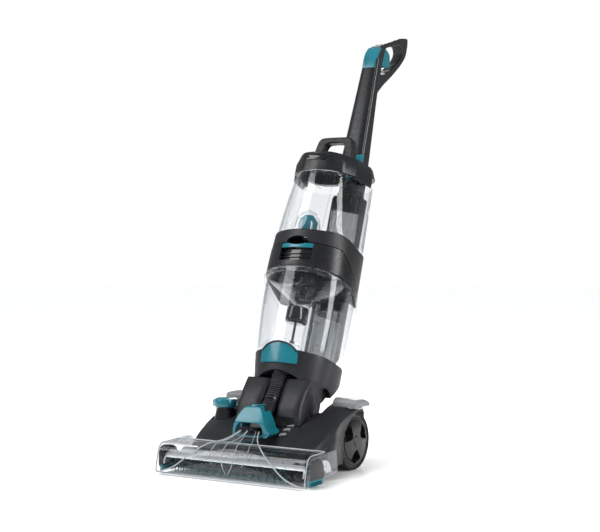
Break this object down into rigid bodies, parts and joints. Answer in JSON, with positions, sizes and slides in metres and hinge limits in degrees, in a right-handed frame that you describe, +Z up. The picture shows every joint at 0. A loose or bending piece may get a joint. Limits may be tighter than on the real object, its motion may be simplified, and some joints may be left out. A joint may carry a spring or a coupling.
{
  "type": "upright carpet cleaner",
  "caption": "Upright carpet cleaner: wheeled base with brush rolls under a clear nozzle, and a reclining body with clear water tanks and a loop handle.",
  "frame": {"origin": "centre of the footprint box, on the floor", "axes": "+Z up, -Y forwards (the nozzle's side), +X to the machine's left, the viewer's right from the front"},
  "size_m": [0.375, 0.7722, 0.9902],
  "materials": {
    "grey_plastic": "fine satin texture",
    "black_plastic": "gloss",
    "teal_plastic": "satin",
    "pale_grey_plastic": "satin",
    "silver_plastic": "metallic satin",
    "clear_plastic": "clear moulding",
    "smoke_plastic": "smoky clear moulding",
    "steel": "machined",
    "belt_rubber": "matte",
    "bristle_nylon": "nylon tufts"
  },
  "bodies": {
    "base": {"base_shell": "grey_plastic", "base_plate": "black_plastic", "brush_housing": "silver_plastic", "hose_port": "black_plastic", "duct_elbow": "grey_plastic", "suction_hose": "black_plastic", "pivot_housing_right": "grey_plastic", "pivot_housing_left": "grey_plastic", "pivot_shaft": "steel", "rear_axle": "steel", "brush_motor": "steel", "drive_belt": "belt_rubber", "roll_belt": "belt_rubber", "spray_bar": "black_plastic", "solution_pump": "black_plastic"},
    "nozzle": {"nozzle_cover": "clear_plastic", "suction_duct": "clear_plastic", "side_plate_right": "grey_plastic", "side_plate_left": "grey_plastic", "edge_brush_right": "bristle_nylon", "edge_brush_left": "bristle_nylon"},
    "nozzle_hood": {"nozzle_latch": "teal_plastic"},
    "hose_port_cap": {"port_cap": "teal_plastic"},
    "right_pedal": {"pedal_right": "pale_grey_plastic"},
    "left_pedal": {"pedal_left": "pale_grey_plastic"},
    "right_wheel": {"wheel_right": "grey_plastic", "tyre_right": "belt_rubber"},
    "left_wheel": {"wheel_left": "grey_plastic", "tyre_left": "belt_rubber"},
    "rear_roll": {"rear_roll_core": "black_plastic", "rear_bristles": "bristle_nylon"},
    "front_roll": {"front_roll_core": "black_plastic", "front_bristles": "bristle_nylon"},
    "brush_drive": {"motor_pulley": "steel"},
    "upright": {"lower_housing": "grey_plastic", "spine": "black_plastic", "mid_frame": "grey_plastic", "stem": "grey_plastic", "handle_grip": "grey_plastic", "handle_panel": "teal_plastic", "suction_motor": "steel", "lower_cord_hook": "black_plastic"},
    "hand_trigger": {"trigger": "teal_plastic"},
    "clean_water_tank": {"clean_tank": "clear_plastic", "clean_tank_cap": "grey_plastic", "tank_badge": "black_plastic", "carry_handle": "black_plastic"},
    "release_button": {"tank_button": "teal_plastic"},
    "floor_valve": {"tank_valve": "teal_plastic"},
    "filler_cap": {"filler_plug": "black_plastic"},
    "dirty_water_tank": {"dirty_tank": "clear_plastic", "dirty_tank_lid": "grey_plastic", "cyclone_cone": "smoke_plastic", "separator": "black_plastic", "riser_tube": "clear_plastic"},
    "lid_lever": {"grip_lever": "teal_plastic"},
    "lower_latch": {"tank_latch": "teal_plastic"},
    "float_stop": {"float": "black_plastic"},
    "fan": {"suction_fan": "black_plastic"},
    "cord_hook": {"upper_cord_hook": "black_plastic"}
  },
  "joints": [
    {"name": "recline", "type": "hinge", "parent": "base", "child": "upright", "pos_m": [0, -0.19719, 0.11], "axis": [-1, 0, 0], "range_deg": [-19.6, 42], "deforming": ["suction_hose"]},
    {"name": "nozzle_lift_off", "type": "slide", "parent": "base", "child": "nozzle", "axis": [0, -0.9806, 0.1961], "range_m": [0, 0.08]},
    {"name": "hood_release", "type": "hinge", "parent": "base", "child": "nozzle_hood", "pos_m": [0, -0.26819, 0.097], "axis": [-1, 0, 0], "range_deg": [0, 15], "stiffness_Nm_per_rad": 0.6},
    {"name": "port_cap_hinge", "type": "hinge", "parent": "base", "child": "hose_port_cap", "pos_m": [-0.124, -0.18619, 0.129], "axis": [-1, 0, 0], "range_deg": [0, 100]},
    {"name": "right_pedal_press", "type": "slide", "parent": "base", "child": "right_pedal", "axis": [0, 0, -1], "range_m": [0, 0.006], "stiffness_N_per_m": 1200},
    {"name": "right_wheel_spin", "type": "hinge", "parent": "base", "child": "right_wheel", "pos_m": [0.1265, -0.11419, 0.061], "axis": [1, 0, 0], "continuous": true},
    {"name": "left_pedal_press", "type": "slide", "parent": "base", "child": "left_pedal", "axis": [0, 0, -1], "range_m": [0, 0.006], "stiffness_N_per_m": 1200},
    {"name": "left_wheel_spin", "type": "hinge", "parent": "base", "child": "left_wheel", "pos_m": [-0.1265, -0.11419, 0.061], "axis": [1, 0, 0], "continuous": true},
    {"name": "rear_roll_spin", "type": "hinge", "parent": "base", "child": "rear_roll", "pos_m": [0, -0.29319, 0.0212], "axis": [1, 0, 0], "continuous": true},
    {"name": "front_roll_spin", "type": "hinge", "parent": "base", "child": "front_roll", "pos_m": [0, -0.34319, 0.0212], "axis": [1, 0, 0], "continuous": true},
    {"name": "brush_drive_spin", "type": "hinge", "parent": "base", "child": "brush_drive", "pos_m": [0.1425, -0.23819, 0.046], "axis": [1, 0, 0], "continuous": true},
    {"name": "trigger_squeeze", "type": "hinge", "parent": "upright", "child": "hand_trigger", "pos_m": [0, 0.24607, 0.94043], "axis": [-1, 0, 0], "range_deg": [0, 8], "stiffness_Nm_per_rad": 1},
    {"name": "clean_tank_lift", "type": "slide", "parent": "upright", "child": "clean_water_tank", "axis": [0, 0, 1], "range_m": [0, 0.12]},
    {"name": "release_button_press", "type": "slide", "parent": "clean_water_tank", "child": "release_button", "axis": [0, -0.3355, -0.9421], "range_m": [0, 0.0035], "stiffness_N_per_m": 700},
    {"name": "floor_valve_travel", "type": "slide", "parent": "clean_water_tank", "child": "floor_valve", "axis": [0, 0.3355, 0.9421], "range_m": [0, 0.004], "stiffness_N_per_m": 300},
    {"name": "filler_cap_pull", "type": "slide", "parent": "clean_water_tank", "child": "filler_cap", "axis": [0, 0.3355, 0.9421], "range_m": [0, 0.02]},
    {"name": "dirty_tank_slide", "type": "slide", "parent": "upright", "child": "dirty_water_tank", "axis": [0, -0.9023, 0.4311], "range_m": [0, 0.12]},
    {"name": "lid_lever_press", "type": "slide", "parent": "dirty_water_tank", "child": "lid_lever", "axis": [0, -0.3355, -0.9421], "range_m": [0, 0.006], "stiffness_N_per_m": 700},
    {"name": "lower_latch_pull", "type": "hinge", "parent": "dirty_water_tank", "child": "lower_latch", "pos_m": [0, -0.20705, 0.23134], "axis": [1, 0, 0], "range_deg": [0, 15], "stiffness_Nm_per_rad": 0.6},
    {"name": "float_rise", "type": "slide", "parent": "dirty_water_tank", "child": "float_stop", "axis": [0, 0.3355, 0.9421], "range_m": [0, 0.004]},
    {"name": "fan_spin", "type": "hinge", "parent": "upright", "child": "fan", "pos_m": [0, -0.14335, 0.15983], "axis": [0, 0.3355, 0.9421], "continuous": true},
    {"name": "cord_hook_swivel", "type": "hinge", "parent": "upright", "child": "cord_hook", "pos_m": [0, 0.12812, 0.5764], "axis": [0, 0.9421, -0.3355], "range_deg": [0, 180]}
  ],
  "couplings": [
    {"joint": "front_roll_spin", "follows": "rear_roll_spin", "ratio": 1},
    {"joint": "brush_drive_spin", "follows": "rear_roll_spin", "ratio": 1.2222}
  ]
}
